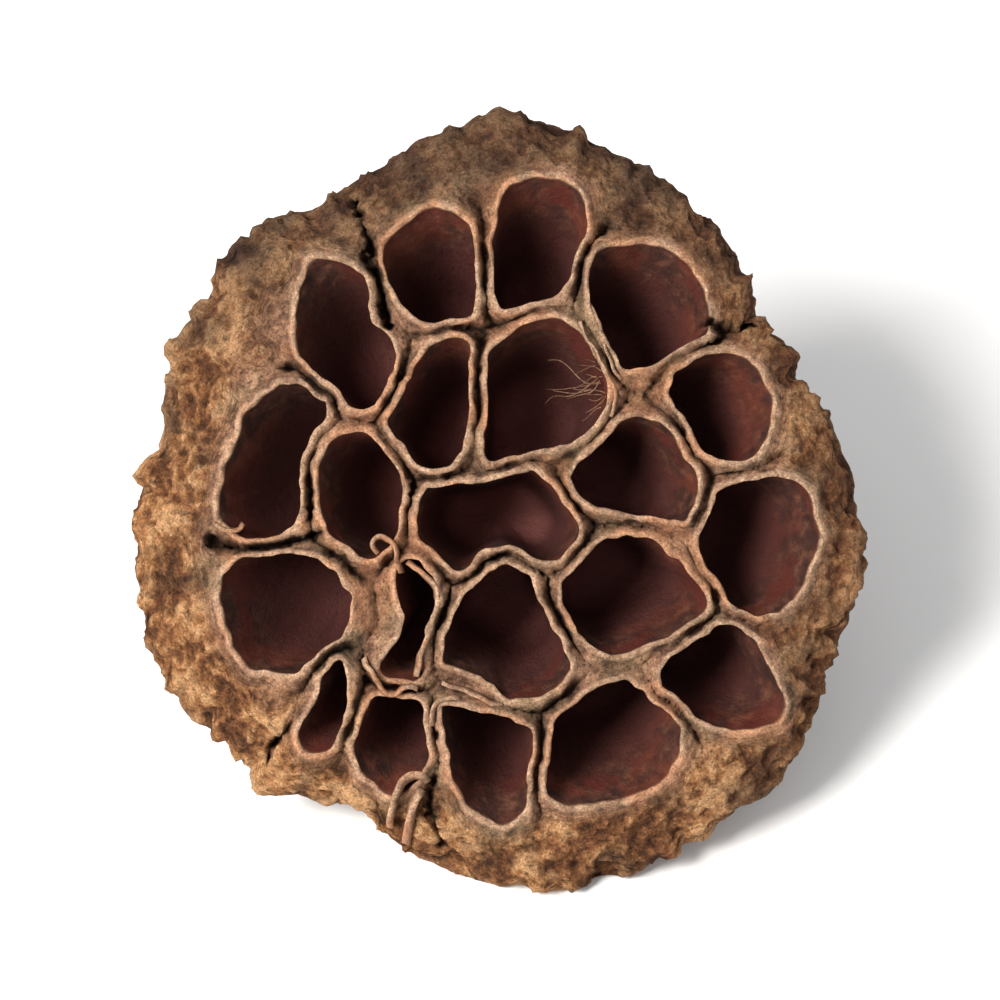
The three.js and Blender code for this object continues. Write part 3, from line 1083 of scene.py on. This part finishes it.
def margin_colour(n, relief, cloudy, place):
    """The broad margin: golden brown with painted highlights, duller in patches, painted shade at
    back and right.
    """
    # golden brown, with painted highlights where the margin stands highest
    colour = n.ramp(relief, MARGIN_WITH_HIGHLIGHTS)
    colour = n.mixed(n.mapped(cloudy, 0.48, 0.64, 0.0, 0.6), colour, n.ramp(relief, DULL_MARGIN))
    # painted shade: the margin darkens towards the back
    to_back = n.math("MULTIPLY_ADD", cloudy, 30.0, n.axis(place, "Y"))
    colour = n.mixed(n.mapped(to_back, 12.0, 44.0, 0.0, 0.78), colour, linear(*BACK_SHADE))
    # painted shade: the margin darkens towards the right
    to_right = n.math("MULTIPLY_ADD", cloudy, 30.0, n.axis(place, "X"))
    return n.mixed(n.mapped(to_right, 28.0, 52.0, 0.0, 0.55), colour, linear(*SHADED))


def flank_colour(n, bark, cloudy, fibres):
    """The flank: pinkish brown and grey bark with dark fibres."""
    colour = n.mixed(n.mapped(cloudy, 0.42, 0.6), n.ramp(bark, FLANK), n.ramp(bark, GREY_FLANK))
    return n.mixed(n.mapped(fibres, 0.38, 0.58, 0.5, 0.0), colour, linear(*FLANK_FIBRE))


def cell_colour(n, below, mottled, cloudy, warm):
    """The inside of a cell: brown at the top, then a dark red brown, paler again on the floor."""
    warmth = n.math("MULTIPLY", warm, 0.45)
    colour = n.mixed(warmth, n.ramp(mottled, CELL_WALL), linear(*WARM_WALL))
    colour = n.mixed(n.mapped(cloudy, 0.5, 0.64), colour, linear(*RUDDY_WALL))
    colour = n.mixed(n.mapped(below, 2.0, 8.0), colour, linear(*DEEP_WALL))
    return n.mixed(n.mapped(below, 10.0, 16.0), colour, linear(*CELL_FLOOR))


def husk_material():
    n = Nodes("dried husk")
    place, grain, streak = n.place(), n.attribute("grain"), n.attribute("streak")
    lip, crack, rim, flank, below, high = (n.attribute(kind) for kind in KINDS)

    cloudy = n.noise(place, 6.0, 3)
    mottled = n.noise(n.shift(place, (31, 7, 3)), 1.5, 6, 0.65)
    grains = n.noise(place, 0.9, 8, 0.72)
    fine = n.noise(place, 0.35, 5, 0.7)
    warm = n.mapped(n.noise(n.shift(place, (9, 40, 4)), 7.0, 3), 0.48, 0.6)
    layers = n.noise(grain, 0.6, 8, 0.7, 0.15)
    fibres = n.noise(streak, 0.55, 6, 0.65, 0.3)
    bands = n.noise(n.shift(streak, (3, 9, 1)), 2.2, 5, 0.6, 0.4)
    flecks = n.mapped(n.noise(n.shift(grain, (5, 2, 8)), 0.42, 4, 0.6), 0.34, 0.45, 1.0, 0.0)
    crumbs = n.crumbs(n.bent(n.vector_math("MULTIPLY", grain, (1.6, 1.6, 1.0)), 1.0, 0.9), 0.85)
    raised = n.mapped(high, -0.5, 0.5)
    speckle = n.mapped(n.noise(place, 0.24, 3, 0.7), 0.36, 0.64, 0.66, 1.2)
    relief = n.weighted((grains, 0.45), (raised, 0.25), (layers, 0.35))
    bark = n.weighted((bands, 0.5), (raised, 0.3), (mottled, 0.25))

    margin = margin_colour(n, relief, cloudy, place)
    margin = n.mixed(n.mapped(crumbs, 0.55, 0.9, 0.0, 0.4), margin, linear(*BETWEEN_CRUMBS))
    colour = n.mixed(rim, tissue_colour(n, relief, cloudy, warm), margin)
    colour = n.mixed(n.math("MULTIPLY", flecks, 0.6), colour, linear(*FLECK))
    pale = n.mixed(n.math("MULTIPLY", warm, 0.5), n.ramp(fine, LIP), linear(*WARM_LIP))
    worn_lip = n.math("MULTIPLY", lip, n.mapped(mottled, 0.35, 0.6, 0.25, 0.95))
    colour = n.mixed(worn_lip, colour, pale)
    colour = n.mixed(1.0, colour, speckle, "MULTIPLY")
    colour = n.mixed(flank, colour, flank_colour(n, bark, cloudy, fibres))
    inner = cell_colour(n, below, mottled, cloudy, warm)
    colour = n.mixed(n.mapped(below, 0.02, 0.5), colour, inner)
    # painted shade: cracks and clefts darkened almost to black
    colour = n.mixed(n.math("MULTIPLY", crack, 0.88), colour, linear(*CRACK_SHADOW))

    soft = n.math("ADD", n.math("MULTIPLY", rim, 0.5), n.math("MULTIPLY", flank, 0.3))
    crumbled = n.math("SUBTRACT", grains, n.math("MULTIPLY", crumbs, 0.35))
    coarse = n.math("MULTIPLY", n.math("MULTIPLY_ADD", flank, 0.5, rim), crumbled)
    grainy = n.bump(n.math("ADD", coarse, n.math("MULTIPLY", layers, 0.35)), 2.0)
    worn = n.bump(n.math("MULTIPLY", flank, fibres), 0.35, grainy)
    normal = n.bump(fine, 0.2, worn)
    rough = n.mapped(n.math("ADD", mottled, soft), 0.2, 1.2, 0.72, 0.92)
    inputs = {"Base Color": colour, "Roughness": rough, "Normal": normal,
              "Specular IOR Level": DULLNESS}
    shader = n.make("ShaderNodeBsdfPrincipled", inputs)
    n.make("ShaderNodeOutputMaterial", {"Surface": shader.outputs[0]})
    return n.material


# -------- floor, light and camera


def plain_material(name, shade):
    n = Nodes(name)
    inputs = {"Base Color": (shade, shade, shade, 1), "Roughness": 0.9}
    shader = n.make("ShaderNodeBsdfPrincipled", inputs)
    n.make("ShaderNodeOutputMaterial", {"Surface": shader.outputs[0]})
    return n.material


def add_floor():
    side = np.array([[-1, -1, 0], [1, -1, 0], [1, 1, 0], [-1, 1, 0]]) * FLOOR_HALF
    mesh_object("floor", side, [(0, 1, 2, 3)], plain_material("floor", 0.9))


def aimed(thing, place, target):
    thing.location = place
    thing.rotation_euler = (Vector(target) - Vector(place)).to_track_quat("-Z", "Y").to_euler()
    bpy.context.collection.objects.link(thing)


def add_lamp(name, place, target, size, power, colour):
    light = bpy.data.lights.new(name, "AREA")
    light.size, light.energy, light.color = size, power, colour
    aimed(bpy.data.objects.new(name, light), place, target)


def add_camera(target):
    data = bpy.data.cameras.new("camera")
    data.lens = data.sensor_width * CAMERA_DISTANCE / FRAME_WIDTH
    back = Vector((0, -math.cos(CAMERA_ELEVATION), math.sin(CAMERA_ELEVATION)))
    camera = bpy.data.objects.new("camera", data)
    aimed(camera, Vector(target) + back * CAMERA_DISTANCE, target)
    bpy.context.scene.camera = camera


def light_room():
    scene = bpy.context.scene
    scene.view_settings.view_transform = "Standard"
    world = bpy.data.worlds.new("room")
    world.use_nodes = True
    background = world.node_tree.nodes["Background"]
    background.inputs["Color"].default_value = (1, 1, 1, 1)
    background.inputs["Strength"].default_value = ROOM_LIGHT
    scene.world = world


woody = husk_material()
husk = make_husk(woody)
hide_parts(NODE)
for piece in (husk, make_folds(woody), make_fibres(woody)):
    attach(piece, "root")

face_middle = Vector(to_row(np.zeros((1, 3)))[0])
add_floor()
light_room()
add_lamp("key", KEY_PLACE, face_middle, KEY_SIZE, KEY_POWER, KEY_COLOUR)
add_camera(face_middle)
